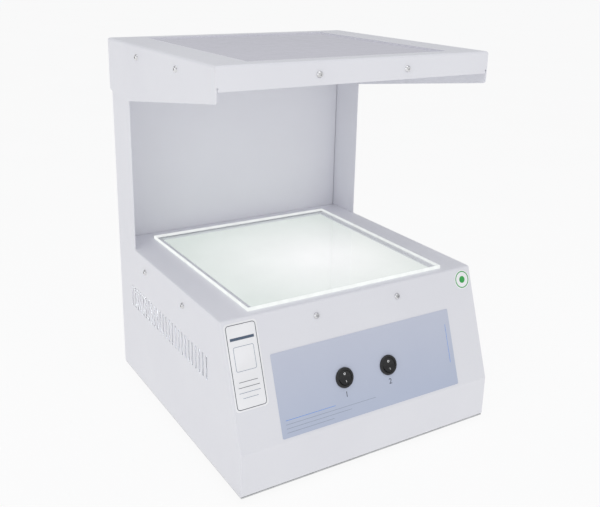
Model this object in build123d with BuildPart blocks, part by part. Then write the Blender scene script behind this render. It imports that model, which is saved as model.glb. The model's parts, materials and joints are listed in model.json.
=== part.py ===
from build123d import *
import math
import os

# A bench polariscope: a sheet-metal cabinet with a lit test plate on its deck,
# a column at the back, and an overhanging hood that carries the analyser sheet.
# Sizes are in millimetres. +Z is up and the sloped control face looks towards -Y.
# The origin is on the bench, below the middle of the whole instrument.

# Cabinet and hood sheet metal
sheet = 1.5
bend_inside = 1.2
edge_ease = 0.9
return_flange = 15.0
corner_relief = 2.0

# Cabinet outline, seen from the side
body_width = 340.0
body_depth = 350.0
kick_height = 51.0
slope_run = 46.0
deck_height = 183.0
column_depth = 58.0
column_corner = 2.0
rear_inset = 6.0

# Hood outline, seen from the side
hood_top_height = 443.0
hood_setback = 47.0
hood_gap = 0.3
hood_lip_drop = 25.0
hood_side_drop_front = 36.0
hood_side_drop_rear = 70.0
hood_side_rear_run = 24.0
hood_side_rear_lift = 7.0
hood_side_corner = 3.5
hood_side_blend = 9.0
hood_lip_notch = 1.0
hood_seam_relief = 1.1
hood_seam_rise = 3.2

# Feet and bottom plate
foot_height = 6.0
foot_radius = 10.0
foot_taper = 1.2
foot_inset = 38.0
foot_bore_depth = 3.4
foot_bore_radius = 4.6
base_sheet = 1.5
base_edge_inset = 1.0
base_screw_rows = 3
base_screw_margin = 50.0
base_vent_count = 13
base_vent_pitch = 14.0
base_vent_length = 36.0
base_vent_setback = 52.0

# Test plate, lit opening and the two sheets under it
plate_thickness = 4.0
plate_edge_ease = 0.6
plate_side_gap = 37.5
plate_setback = 10.0
plate_rear_gap = 29.0
opening_margin = 8.5
opening_corner = 2.0
polariser_thickness = 2.0
diffuser_thickness = 3.0
sheet_overlap = 7.0
sheet_frame_border = 12.0
sheet_frame_drop = 26.0

# Hood window and analyser sheet
window_side_border = 44.3
window_front_border = 20.5
window_rear_border = 19.3
analyser_thickness = 3.0
analyser_frame_drop = 18.0
frame_fit = 0.3

# Screws and nuts, M4 button heads with a hex socket
screw_radius = 2.0
screw_head_radius = 3.8
screw_head_height = 2.2
screw_head_flat = 2.3
socket_flats = 2.5
socket_depth = 1.2
screw_hole_radius = 2.25
nut_flats = 7.0
nut_height = 3.2
thread_sides = 8
thread_fit = 0.05
thread_showing = 1.2
side_screw_depth = 19.0
side_screw_setback = 142.0
side_screw_rear_gap = 93.0
slope_screw_spacing = 111.0
slope_screw_depth = 16.3
hood_screw_depth = 14.0
hood_screw_front_gap = 93.5
hood_screw_rear_gap = 98.3
hood_lip_screw_spacing = 112.0

# Ventilation slots in both sides
vent_count = 25
vent_length = 28.5
vent_width = 3.6
vent_front_gap = 80.2
vent_rear_gap = 44.2
vent_height = 115.0

# Control face: label, switches and two small stickers
label_left_gap = 51.0
label_right_gap = 44.5
label_top_gap = 45.0
label_thickness = 0.4
label_lift = 3.3
label_corner = 1.5
switch_spacing = 60.5
switch_offset = -2.25
side_sticker_width = 38.5
side_sticker_height = 92.0
side_sticker_corner = 4.0
side_sticker_edge = 2.5
side_sticker_top_gap = 3.8
sticker_thickness = 0.3
round_sticker_radius = 11.5
round_sticker_edge = 14.5
round_sticker_top_gap = 14.8

# Round rocker switch
bezel_radius = 11.5
bezel_height = 2.0
bezel_ease = 0.8
barrel_radius = 9.9
barrel_fit = 0.2
barrel_length = 13.0
rocker_radius = 8.3
rocker_fit = 0.3
rocker_tilt = 10.5
rocker_crown = 1.9
rocker_below = 4.2
pivot_depth = 2.2
trunnion_radius = 1.2
trunnion_length = 1.0
trunnion_fit = 0.05
nose_radius = 1.8
nose_length = 2.8
pocket_floor = 2.4
snap_height = 5.0
snap_stand = 0.7
snap_width = 7.0
terminal_width = 4.8
terminal_thickness = 0.8
terminal_length = 8.5
terminal_spacing = 9.0

# Mains inlet with its fuse drawer, in the rear panel
inlet_offset = 105.0
inlet_height = 42.0
inlet_flange_width = 50.0
inlet_flange_height = 34.0
inlet_flange_thickness = 3.0
inlet_flange_corner = 4.0
inlet_body_width = 27.4
inlet_body_height = 31.0
inlet_body_depth = 26.0
inlet_fit = 0.4
inlet_screw_spacing = 40.0
inlet_screw_radius = 1.5
inlet_screw_head = 2.8
inlet_screw_head_height = 1.7
inlet_nut_flats = 5.5
inlet_nut_height = 2.4
socket_width = 24.4
socket_height = 16.6
socket_reach = 17.0
socket_chamfer = 4.4
socket_drop = 5.2
pin_width = 2.0
pin_height = 4.0
pin_gap = 14.0
pin_offset = 2.0
pin_setback = 3.0
pin_tail = 7.0
drawer_width = 22.0
drawer_height = 6.8
drawer_reach = 24.0
drawer_rise = 9.6
drawer_fit = 0.25
drawer_wall = 0.8
drawer_face_margin = 1.0
drawer_face_thickness = 1.2
fuse_radius = 2.5
fuse_glass_radius = 2.25
fuse_length = 20.0
fuse_cap_length = 5.0
fuse_fit = 0.1

# Lamp tray and what stands on it
tray_sheet = 1.0
tray_height = 52.0
tray_front = 100.0
tray_rear_gap = 50.0
tray_side_gap = 45.0
tray_foot = 12.0
lamp_height = 86.0
sodium_rear_gap = 50.0
sodium_tip = 115.0
sodium_radius = 26.5
sodium_length = 216.0
sodium_tip_taper = 14.0
sodium_neck_taper = 4.0
sodium_cap_radius = 11.0
sodium_cap_length = 27.0
arc_tube_radius = 7.5
arc_tube_gap = 21.0
arc_tube_length = 165.0
arc_tube_bridge_radius = 5.0
glass_wall = 1.2
cfl_front_gap = 34.0
cfl_tip = 85.0
cfl_length = 167.0
cfl_tube_radius = 6.0
cfl_tube_gap = 15.0
cfl_tip_taper = 3.0
cfl_bridge_radius = 3.0
cfl_bridge_setback = 10.0
cfl_base_length = 34.0
cfl_base_width = 32.0
cfl_base_height = 20.0
cfl_plug_length = 20.0
cfl_plug_width = 20.0
cfl_plug_height = 12.0
holder_wall = 4.0
holder_depth = 22.0
holder_fit = 0.2
clip_width = 9.0
clip_sheet = 0.8
clip_fit = 0.1
clip_setback = 40.0

# Control gear on the bottom plate
stud_height = 7.0
ear_length = 12.0
ear_thickness = 1.5
gear_ease = 1.5
ballast_front_gap = 36.0
sodium_ballast_x = -66.0
sodium_ballast_length = 60.0
sodium_ballast_width = 54.0
sodium_ballast_height = 42.0
sodium_coil_length = 88.0
sodium_coil_width = 32.0
sodium_coil_height = 26.0
cfl_ballast_x = 58.0
cfl_ballast_length = 84.0
cfl_ballast_width = 40.0
cfl_ballast_height = 28.0
starter_rear_gap = 52.0
capacitor_x = 50.0
capacitor_radius = 15.0
capacitor_length = 56.0
clamp_width = 12.0
ignitor_x = -55.0
ignitor_length = 58.0
ignitor_width = 36.0
ignitor_height = 30.0
terminal_ways = 6
terminal_way_length = 10.0
terminal_clamp_length = 7.0
terminal_clamp_width = 11.0
terminal_block_width = 18.0
terminal_block_height = 15.0
terminal_block_floor = 6.0
terminal_block_x = 0.0
terminal_rear_gap = 13.0
earth_stud_side_gap = 28.0
earth_stud_rear_gap = 60.0

# Derived heights, widths and depths in the row frame
bend_outside = bend_inside + sheet
bottom_z = foot_height + base_sheet
rear_proud = hood_gap + sheet + screw_head_height
front_y = -(body_depth + rear_proud) / 2
rear_y = front_y + body_depth
back_y = rear_y - rear_inset
kick_z = bottom_z + kick_height
deck_z = bottom_z + deck_height
top_z = bottom_z + hood_top_height
half_width = body_width / 2
inner_x = half_width - sheet
column_y = rear_y - column_depth
slope_rise = deck_height - kick_height
slope_angle = math.atan2(slope_run, slope_rise)
slope_length = math.hypot(slope_run, slope_rise)
under_hood_z = top_z - sheet
hood_inner_x = half_width + hood_gap
hood_outer_x = hood_inner_x + sheet
hood_front_y = front_y + hood_setback
hood_rear_y = rear_y + hood_gap + sheet
hood_lip_z = top_z - hood_lip_drop
hood_front_low_z = top_z - hood_side_drop_front
hood_rear_low_z = top_z - hood_side_drop_rear

# The control slope's outer face: local x is the row's x, local y runs up the slope
slope_plane = Plane(
    origin=(0, front_y, kick_z),
    x_dir=(1, 0, 0),
    z_dir=(0, -math.cos(slope_angle), math.sin(slope_angle)),
)

# The rear panel's rear face at the mains inlet: local y is up
inlet_plane = Plane(
    origin=(inlet_offset, back_y + sheet, bottom_z + inlet_height),
    x_dir=(-1, 0, 0),
    z_dir=(0, 1, 0),
)

# The lit opening, the hood window and the sheets that lie over and under them
plate_width = body_width - 2 * plate_side_gap
plate_depth = body_depth - slope_run - plate_setback - plate_rear_gap
plate_centre_y = front_y + slope_run + plate_setback + plate_depth / 2
opening_width = plate_width - 2 * opening_margin
opening_depth = plate_depth - 2 * opening_margin
lit_sheet_width = opening_width + 2 * sheet_overlap
lit_sheet_depth = opening_depth + 2 * sheet_overlap
polariser_top_z = deck_z - sheet
diffuser_top_z = polariser_top_z - polariser_thickness
sheet_ledge_z = diffuser_top_z - diffuser_thickness
window_width = 2 * (hood_outer_x - window_side_border)
window_depth = hood_rear_y - hood_front_y - window_front_border - window_rear_border
window_centre_y = hood_front_y + window_front_border + window_depth / 2
analyser_ledge_z = under_hood_z - analyser_thickness

# Screw places
side_screw_z = deck_z - side_screw_depth
side_screw_y = (front_y + side_screw_setback, rear_y - side_screw_rear_gap)
slope_screw_lift = slope_length - slope_screw_depth
slope_screw_x = (-slope_screw_spacing / 2, slope_screw_spacing / 2)
hood_screw_z = top_z - hood_screw_depth
hood_screw_y = (hood_front_y + hood_screw_front_gap, hood_rear_y - hood_screw_rear_gap)
lip_screw_x = (-hood_lip_screw_spacing / 2, hood_lip_screw_spacing / 2)
base_screw_x = inner_x - return_flange / 2
base_centre_y = front_y + body_depth / 2
base_screw_pitch = (body_depth - 2 * base_screw_margin) / (base_screw_rows - 1)
base_screw_places = [
    (side * base_screw_x, front_y + base_screw_margin + base_screw_pitch * row)
    for side in (-1, 1)
    for row in range(base_screw_rows)
]
foot_places = {
    "front_left_foot": (foot_inset - half_width, front_y + foot_inset),
    "front_right_foot": (half_width - foot_inset, front_y + foot_inset),
    "rear_left_foot": (foot_inset - half_width, rear_y - foot_inset),
    "rear_right_foot": (half_width - foot_inset, rear_y - foot_inset),
}

# Vent slots, the label and the switches; the last two in the slope plane's own coordinates
vent_pitch = (body_depth - vent_front_gap - vent_rear_gap) / (vent_count - 1)
vent_centre_y = front_y + (body_depth + vent_front_gap - vent_rear_gap) / 2
label_width = body_width - label_left_gap - label_right_gap
label_height = slope_length - label_lift - label_top_gap
label_x = (label_left_gap - label_right_gap) / 2
switch_lift = label_lift + label_height / 2
switch_centres = {
    "left": (switch_offset - switch_spacing / 2, switch_lift),
    "right": (switch_offset + switch_spacing / 2, switch_lift),
}
rocker_pivot = label_thickness + bezel_height - pivot_depth

# Lamp tray and lamp places
tray_front_y = front_y + tray_front
tray_rear_y = rear_y - tray_rear_gap
tray_width = body_width - 2 * tray_side_gap
tray_top_z = bottom_z + tray_height
lamp_z = bottom_z + lamp_height
sodium_y = tray_rear_y - sodium_rear_gap
cfl_y = tray_front_y + cfl_front_gap
stud_clear = ear_length / 2
tray_stud_x = tray_width / 2 - tray_foot
ballast_y = tray_front_y + ballast_front_gap
starter_y = tray_rear_y - starter_rear_gap
terminal_y = tray_rear_y - terminal_rear_gap
terminal_block_length = terminal_ways * terminal_way_length
tray_stud_places = [
    (x, y)
    for x in (-tray_stud_x, tray_stud_x)
    for y in (tray_front_y - tray_foot / 2 - bend_inside, tray_rear_y + tray_foot / 2 + bend_inside)
]

os.makedirs("parts", exist_ok=True)


def save(piece, name):
    """Label one finished piece and write it to its own file."""
    piece.label = name
    export_step(piece, "parts/" + name + ".step")


def bent_section(plane, points, radii, thickness, side):
    """Section of a bent sheet: one face follows the points, the sheet lies on one side of it."""
    with BuildSketch(plane) as section:
        with BuildLine():
            FilletPolyline(*points, radius=radii)
            offset(amount=thickness, side=side)
        make_face()
    return section.sketch


def placed(piece, planes):
    """Copies of a finished piece, one on each plane."""
    with BuildPart() as group:
        with Locations(*planes):
            add(piece)
    return group.part


def slope_inner_y(height):
    """Where the inner face of the control slope lies at a height above the bench."""
    return front_y + (height - kick_z) * slope_run / slope_rise + sheet / math.cos(slope_angle)


def on_slope(x, lift):
    """Plane on the control slope's outer face, facing outwards."""
    return Plane(
        origin=slope_plane.from_local_coords((x, lift, 0)),
        x_dir=slope_plane.x_dir,
        z_dir=slope_plane.z_dir,
    )


# Fasteners, built once at the origin with the seat on the XY plane.
# Their plain threads have few sides, because they repeat and lie out of sight.
def button_screw(grip):
    """Button head screw whose shank reaches through the grip and a nut."""
    with BuildPart() as screw:
        with BuildSketch(Plane.XZ):
            with BuildLine():
                Polyline((0, 0), (screw_head_radius, 0))
                RadiusArc(
                    (screw_head_radius, 0),
                    (screw_head_flat, screw_head_height),
                    -screw_head_radius,
                )
                Polyline((screw_head_flat, screw_head_height), (0, screw_head_height), (0, 0))
            make_face()
        revolve(axis=Axis.Z)
        with BuildSketch(Plane.XY.offset(screw_head_height)):
            RegularPolygon(radius=socket_flats / 2, side_count=6, major_radius=False)
        extrude(amount=-socket_depth, mode=Mode.SUBTRACT)
        with BuildSketch(Plane.XY):
            RegularPolygon(radius=screw_radius, side_count=thread_sides)
        extrude(amount=-(grip + nut_height + thread_showing))
    return screw.part


def hex_nut(flats, bore, height):
    """Plain nut that hangs below its seat."""
    with BuildPart() as nut:
        with BuildSketch(Plane.XY):
            RegularPolygon(radius=flats / 2, side_count=6, major_radius=False)
            RegularPolygon(radius=bore, side_count=thread_sides, mode=Mode.SUBTRACT)
        extrude(amount=-height)
    return nut.part


def cabinet_side_seats():
    """Screw seats on both cabinet sides."""
    return [
        Plane(origin=(side * half_width, y, side_screw_z), z_dir=(side, 0, 0))
        for side in (-1, 1)
        for y in side_screw_y
    ]


def slope_seats():
    """Screw seats on the control slope."""
    return [on_slope(x, slope_screw_lift) for x in slope_screw_x]


def hood_side_seats():
    """Screw seats on both hood sides."""
    return [
        Plane(origin=(side * hood_outer_x, y, hood_screw_z), z_dir=(side, 0, 0))
        for side in (-1, 1)
        for y in hood_screw_y
    ]


def hood_lip_seats():
    """Screw seats on the hood's front lip."""
    return [Plane(origin=(x, hood_front_y, hood_screw_z), z_dir=(0, -1, 0)) for x in lip_screw_x]


def hood_rear_seats():
    """Screw seats on the hood's rear lip."""
    return [Plane(origin=(x, hood_rear_y, hood_screw_z), z_dir=(0, 1, 0)) for x in lip_screw_x]


def write_fasteners():
    """Screws and nuts of the two sheet frames, the hood, the feet and the bottom plate."""
    two_sheets = 2 * sheet
    hood_rear_grip = hood_rear_y - back_y + sheet
    foot_grip = foot_height - foot_bore_depth + base_sheet
    short_screw = button_screw(two_sheets)
    long_screw = button_screw(hood_rear_grip)
    foot_screw = button_screw(foot_grip)
    base_screw = button_screw(base_sheet + sheet - nut_height)
    nut = hex_nut(nut_flats, screw_radius + thread_fit, nut_height)
    tray_seats = cabinet_side_seats() + slope_seats()
    front_seats = hood_side_seats() + hood_lip_seats()
    foot_seats = [
        Plane(origin=(x, y, foot_bore_depth), z_dir=(0, 0, -1)) for x, y in foot_places.values()
    ]
    base_seats = [Plane(origin=(x, y, foot_height), z_dir=(0, 0, -1)) for x, y in base_screw_places]
    save(placed(short_screw, tray_seats), "sheet_frame_screws")
    save(placed(nut, [seat.offset(-two_sheets) for seat in tray_seats]), "sheet_frame_nuts")
    with BuildPart() as hood_screws:
        with Locations(*front_seats):
            add(short_screw)
        with Locations(*hood_rear_seats()):
            add(long_screw)
    save(hood_screws.part, "hood_screws")
    front_nuts = [seat.offset(-two_sheets) for seat in front_seats]
    rear_nuts = [seat.offset(-hood_rear_grip) for seat in hood_rear_seats()]
    save(placed(nut, front_nuts + rear_nuts), "hood_nuts")
    save(placed(foot_screw, foot_seats), "foot_screws")
    save(placed(nut, [seat.offset(-foot_grip) for seat in foot_seats]), "foot_nuts")
    save(placed(base_screw, base_seats), "bottom_plate_screws")


# Cabinet side panels
def side_panel(side):
    """One L-shaped side: cabinet side below, column cheek above, with its vents."""
    outer = Plane.YZ.offset(side * half_width)
    with BuildPart() as panel:
        with BuildSketch(outer):
            with BuildLine():
                FilletPolyline(
                    (front_y, bottom_z),
                    (front_y, kick_z),
                    (front_y + slope_run, deck_z),
                    (column_y, deck_z),
                    (column_y, under_hood_z),
                    (rear_y, under_hood_z),
                    (rear_y, bottom_z),
                    radius=(
                        bend_outside,
                        bend_outside,
                        bend_outside,
                        column_corner,
                        column_corner,
                        bend_outside,
                        column_corner,
                    ),
                    close=True,
                )
            make_face()
        extrude(amount=-side * sheet)
        outer_face = panel.faces().filter_by(Axis.X).sort_by(Axis.X)[0 if side < 0 else -1]
        chamfer(outer_face.outer_wire().edges(), edge_ease)
        with BuildSketch(outer):
            with Locations((vent_centre_y, bottom_z + vent_height)):
                with GridLocations(vent_pitch, vent_length, vent_count, 1):
                    Rectangle(vent_width, vent_length)
        extrude(amount=-side * sheet, mode=Mode.SUBTRACT)
        with BuildSketch(outer):
            with Locations(*[(y, side_screw_z) for y in side_screw_y]):
                Circle(screw_hole_radius)
        extrude(amount=-side * sheet, mode=Mode.SUBTRACT)
        flange_front = front_y + return_flange + corner_relief
        flange_rear = back_y - return_flange - corner_relief
        with BuildSketch(Plane.XY.offset(bottom_z)):
            with Locations((side * base_screw_x, (flange_front + flange_rear) / 2)):
                Rectangle(return_flange, flange_rear - flange_front)
            with Locations(*[place for place in base_screw_places if place[0] * side > 0]):
                Circle(screw_radius + thread_fit, mode=Mode.SUBTRACT)
        extrude(amount=sheet)
    return panel.part


# Front and deck panel: kick, control slope and deck in one bent sheet
def deck_panel():
    """Bent sheet between the side panels, with the lit opening and the switch holes."""
    section = bent_section(
        Plane.YZ,
        [
            (front_y + return_flange, bottom_z),
            (front_y, bottom_z),
            (front_y, kick_z),
            (front_y + slope_run, deck_z),
            (back_y, deck_z),
            (back_y, deck_z - return_flange),
        ],
        bend_outside,
        sheet,
        Side.RIGHT,
    )
    with BuildPart() as panel:
        extrude(section, amount=inner_x, both=True)
        with BuildSketch(Plane.XY.offset(deck_z)):
            with Locations((0, plate_centre_y)):
                RectangleRounded(opening_width, opening_depth, opening_corner)
        extrude(amount=-sheet, mode=Mode.SUBTRACT)
        with BuildSketch(slope_plane):
            with Locations(*switch_centres.values()):
                Circle(barrel_radius + barrel_fit)
            with Locations(*[(x, slope_screw_lift) for x in slope_screw_x]):
                Circle(screw_hole_radius)
        extrude(amount=-sheet, mode=Mode.SUBTRACT)
    return panel.part


# Rear panel: a shallow pan whose side flanges meet the side panels
def rear_wall():
    """Full-height back with the inlet cut-out, a top flange and a bottom flange."""
    pan = bent_section(
        Plane.XY.offset(bottom_z),
        [
            (-inner_x, rear_y - bend_inside),
            (-inner_x, back_y),
            (inner_x, back_y),
            (inner_x, rear_y - bend_inside),
        ],
        bend_outside,
        sheet,
        Side.LEFT,
    )
    ends = bent_section(
        Plane.YZ,
        [
            (rear_y - bend_inside, under_hood_z),
            (back_y, under_hood_z),
            (back_y, bottom_z + sheet),
            (back_y - return_flange, bottom_z + sheet),
        ],
        (bend_outside, bend_inside),
        sheet,
        Side.LEFT,
    )
    with BuildPart() as panel:
        extrude(pan, amount=under_hood_z - bottom_z)
        with BuildSketch(Plane.YZ):
            with Locations((back_y, under_hood_z)):
                Rectangle(bend_outside, bend_outside, align=(Align.MIN, Align.MAX))
        extrude(amount=inner_x - bend_outside, both=True, mode=Mode.SUBTRACT)
        extrude(ends, amount=inner_x - bend_outside, both=True)
        with BuildSketch(inlet_plane):
            Rectangle(inlet_body_width + inlet_fit, inlet_body_height + inlet_fit)
            with GridLocations(inlet_screw_spacing, inlet_screw_spacing, 2, 1):
                Circle(inlet_screw_radius + inlet_fit / 2)
        extrude(amount=-sheet, mode=Mode.SUBTRACT)
        with BuildSketch(Plane.XZ.offset(-back_y - sheet)):
            with Locations(*[(x, hood_screw_z) for x in lip_screw_x]):
                Circle(screw_hole_radius)
        extrude(amount=sheet, mode=Mode.SUBTRACT)
    return panel.part


# Hood cover: folded top with side flanges, a front lip and a rear lip
def hood():
    """Overhanging hood with welded corners, small reliefs below and the window in its top."""
    hood_depth = hood_rear_y - hood_front_y
    hood_middle_y = (hood_front_y + hood_rear_y) / 2
    seam_x = hood_inner_x - hood_lip_notch / 2
    seam_top_z = hood_lip_z + hood_seam_rise
    with BuildPart() as hollow:
        with BuildSketch(Plane.XY.offset(hood_rear_low_z)):
            with Locations((0, hood_middle_y)):
                Rectangle(2 * hood_inner_x, hood_depth - 2 * sheet)
        extrude(amount=under_hood_z - hood_rear_low_z)
        fillet(hollow.faces().sort_by(Axis.Z)[-1].edges(), bend_inside)
    with BuildPart() as cover:
        with BuildSketch(Plane.XY.offset(hood_rear_low_z)):
            with Locations((0, hood_middle_y)):
                Rectangle(2 * hood_outer_x, hood_depth)
        extrude(amount=hood_side_drop_rear)
        fillet(cover.faces().sort_by(Axis.Z)[-1].edges(), bend_outside)
        add(hollow.part, mode=Mode.SUBTRACT)
        with BuildSketch(Plane.XY.offset(hood_lip_z)):
            with Locations((0, hood_middle_y)):
                Rectangle(2 * hood_inner_x, hood_depth + 2 * sheet)
        extrude(amount=hood_rear_low_z - hood_lip_z, mode=Mode.SUBTRACT)
        with BuildSketch(Plane.YZ):
            with Locations((hood_middle_y, hood_lip_z)):
                Rectangle(hood_depth + 2 * sheet, hood_side_drop_rear, align=(Align.CENTER, Align.MAX))
            with BuildLine():
                FilletPolyline(
                    (hood_front_y, hood_front_low_z),
                    (hood_front_y, top_z),
                    (hood_rear_y, top_z),
                    (hood_rear_y, hood_rear_low_z + hood_side_rear_lift),
                    (hood_rear_y - hood_side_rear_run, hood_rear_low_z),
                    (column_y, hood_rear_low_z),
                    radius=(hood_side_corner, 0, 0, hood_side_corner, hood_side_blend, hood_side_blend),
                    close=True,
                )
            make_face(mode=Mode.SUBTRACT)
        extrude(amount=hood_outer_x + sheet, both=True, mode=Mode.SUBTRACT)
        with BuildSketch(Plane.XZ.offset(-hood_middle_y)):
            with Locations((-seam_x, hood_lip_z), (seam_x, hood_lip_z)):
                Rectangle(hood_lip_notch, hood_seam_rise, align=(Align.CENTER, Align.MIN))
            with Locations((-seam_x, seam_top_z), (seam_x, seam_top_z)):
                Circle(hood_seam_relief)
            with Locations(*[(x, hood_screw_z) for x in lip_screw_x]):
                Circle(screw_hole_radius)
        extrude(amount=hood_depth, both=True, mode=Mode.SUBTRACT)
        with BuildSketch(Plane.XY.offset(top_z)):
            with Locations((0, window_centre_y)):
                RectangleRounded(window_width, window_depth, opening_corner)
        extrude(amount=-sheet, mode=Mode.SUBTRACT)
        with BuildSketch(Plane.YZ):
            with Locations(*[(y, hood_screw_z) for y in hood_screw_y]):
                Circle(screw_hole_radius)
        extrude(amount=hood_outer_x + sheet, both=True, mode=Mode.SUBTRACT)
    return cover.part


# Analyser frame: a flanged ring that holds the analyser sheet up under the hood
def analyser_ring():
    """Ledge with four down flanges that bear on the hood and on the rear panel."""
    low_z = analyser_ledge_z - analyser_frame_drop
    inside_front_y = hood_front_y + sheet
    side_front_y = inside_front_y + bend_outside
    side_rear_y = column_y - corner_relief
    across = bent_section(
        Plane.XZ.offset(-side_front_y),
        [
            (-hood_inner_x, low_z),
            (-hood_inner_x, analyser_ledge_z),
            (hood_inner_x, analyser_ledge_z),
            (hood_inner_x, low_z),
        ],
        bend_outside,
        sheet,
        Side.RIGHT,
    )
    along = bent_section(
        Plane.YZ,
        [
            (inside_front_y, low_z),
            (inside_front_y, analyser_ledge_z),
            (back_y, analyser_ledge_z),
            (back_y, low_z),
        ],
        bend_outside,
        sheet,
        Side.RIGHT,
    )
    with BuildPart() as ring:
        extrude(across, amount=side_front_y - side_rear_y)
        extrude(along, amount=inner_x - frame_fit, both=True)
        with BuildSketch(Plane.XY.offset(analyser_ledge_z)):
            with Locations((0, window_centre_y)):
                Rectangle(window_width, window_depth)
        extrude(amount=-sheet, mode=Mode.SUBTRACT)
        with BuildSketch(Plane.YZ):
            with Locations(*[(y, hood_screw_z) for y in hood_screw_y]):
                Circle(screw_hole_radius)
        extrude(amount=hood_outer_x, both=True, mode=Mode.SUBTRACT)
        with BuildSketch(Plane.XZ):
            with Locations(*[(x, hood_screw_z) for x in lip_screw_x]):
                Circle(screw_hole_radius)
        extrude(amount=body_depth, both=True, mode=Mode.SUBTRACT)
    return ring.part


# Sheet frame: a flanged ring under the deck that carries the diffuser and the polariser
def sheet_ring():
    """Ledge with side flanges on the cabinet sides and a front flange along the slope."""
    low_z = sheet_ledge_z - sheet_frame_drop
    ledge_front_y = slope_inner_y(sheet_ledge_z)
    ledge_rear_y = plate_centre_y + lit_sheet_depth / 2 + sheet_frame_border
    side_front_y = ledge_front_y + bend_outside
    across = bent_section(
        Plane.XZ.offset(-side_front_y),
        [
            (-inner_x, low_z),
            (-inner_x, sheet_ledge_z),
            (inner_x, sheet_ledge_z),
            (inner_x, low_z),
        ],
        bend_outside,
        sheet,
        Side.RIGHT,
    )
    along = bent_section(
        Plane.YZ,
        [
            (slope_inner_y(low_z), low_z),
            (ledge_front_y, sheet_ledge_z),
            (ledge_rear_y, sheet_ledge_z),
            (ledge_rear_y, low_z),
        ],
        bend_outside,
        sheet,
        Side.RIGHT,
    )
    with BuildPart() as ring:
        extrude(across, amount=side_front_y - ledge_rear_y)
        extrude(along, amount=inner_x - bend_outside, both=True)
        with BuildSketch(Plane.XY.offset(sheet_ledge_z)):
            with Locations((0, plate_centre_y)):
                Rectangle(opening_width, opening_depth)
        extrude(amount=-sheet, mode=Mode.SUBTRACT)
        with BuildSketch(Plane.YZ):
            with Locations(*[(y, side_screw_z) for y in side_screw_y]):
                Circle(screw_hole_radius)
        extrude(amount=half_width, both=True, mode=Mode.SUBTRACT)
        with BuildSketch(slope_plane):
            with Locations(*[(x, slope_screw_lift) for x in slope_screw_x]):
                Circle(screw_hole_radius)
        extrude(amount=-3 * sheet, mode=Mode.SUBTRACT)
    return ring.part


# Optical sheets
def flat_sheet(width, depth, centre_y, top, thickness):
    """Plain rectangular sheet below a height."""
    with BuildPart() as plate:
        with BuildSketch(Plane.XY.offset(top)):
            with Locations((0, centre_y)):
                Rectangle(width, depth)
        extrude(amount=-thickness)
    return plate.part


def test_sheet():
    """Clear plate on the deck that the sample is laid on, with polished edges."""
    with BuildPart() as plate:
        with BuildSketch(Plane.XY.offset(deck_z)):
            with Locations((0, plate_centre_y)):
                Rectangle(plate_width, plate_depth)
        extrude(amount=plate_thickness)
        chamfer(plate.faces().sort_by(Axis.Z)[-1].edges(), plate_edge_ease)
    return plate.part


# Feet and bottom plate
def foot(x, y):
    """Tapered rubber foot with a counterbore for its screw."""
    with BuildPart() as pad:
        with BuildSketch(Plane(origin=(x, y, 0), x_dir=(1, 0, 0), z_dir=(0, -1, 0))):
            with BuildLine():
                Polyline(
                    (screw_radius + thread_fit, foot_bore_depth),
                    (foot_bore_radius, foot_bore_depth),
                    (foot_bore_radius, 0),
                    (foot_radius - foot_taper, 0),
                    (foot_radius, foot_height),
                    (screw_radius + thread_fit, foot_height),
                    close=True,
                )
            make_face()
        revolve(axis=Axis((x, y, 0), (0, 0, 1)))
    return pad.part


def bottom_sheet():
    """Removable bottom plate with air slots and screw holes."""
    with BuildPart() as plate:
        with BuildSketch(Plane.XY.offset(foot_height)):
            with Locations((0, base_centre_y)):
                Rectangle(body_width - 2 * base_edge_inset, body_depth - 2 * base_edge_inset)
            with Locations(*base_screw_places):
                Circle(screw_hole_radius, mode=Mode.SUBTRACT)
            with Locations(*foot_places.values()):
                Circle(screw_hole_radius, mode=Mode.SUBTRACT)
            with Locations((0, front_y + base_vent_setback)):
                with GridLocations(base_vent_pitch, base_vent_length, base_vent_count, 1):
                    Rectangle(vent_width, base_vent_length, mode=Mode.SUBTRACT)
        extrude(amount=base_sheet)
    return plate.part


# Control face label and stickers
def face_label():
    """Thin plate over most of the slope, pierced for the two switches."""
    with BuildPart() as label:
        with BuildSketch(slope_plane):
            with Locations((label_x, switch_lift)):
                RectangleRounded(label_width, label_height, label_corner)
            with Locations(*switch_centres.values()):
                Circle(barrel_radius + barrel_fit, mode=Mode.SUBTRACT)
        extrude(amount=label_thickness)
    return label.part


def side_sticker():
    """Upright sticker beside the label."""
    centre_x = side_sticker_edge + side_sticker_width / 2 - half_width
    centre_lift = slope_length - side_sticker_top_gap - side_sticker_height / 2
    with BuildPart() as sticker:
        with BuildSketch(slope_plane):
            with Locations((centre_x, centre_lift)):
                RectangleRounded(side_sticker_width, side_sticker_height, side_sticker_corner)
        extrude(amount=sticker_thickness)
    return sticker.part


def round_sticker():
    """Small round sticker near the slope's top corner."""
    with BuildPart() as sticker:
        with BuildSketch(slope_plane):
            with Locations((half_width - round_sticker_edge, slope_length - round_sticker_top_gap)):
                Circle(round_sticker_radius)
        extrude(amount=sticker_thickness)
    return sticker.part


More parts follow.
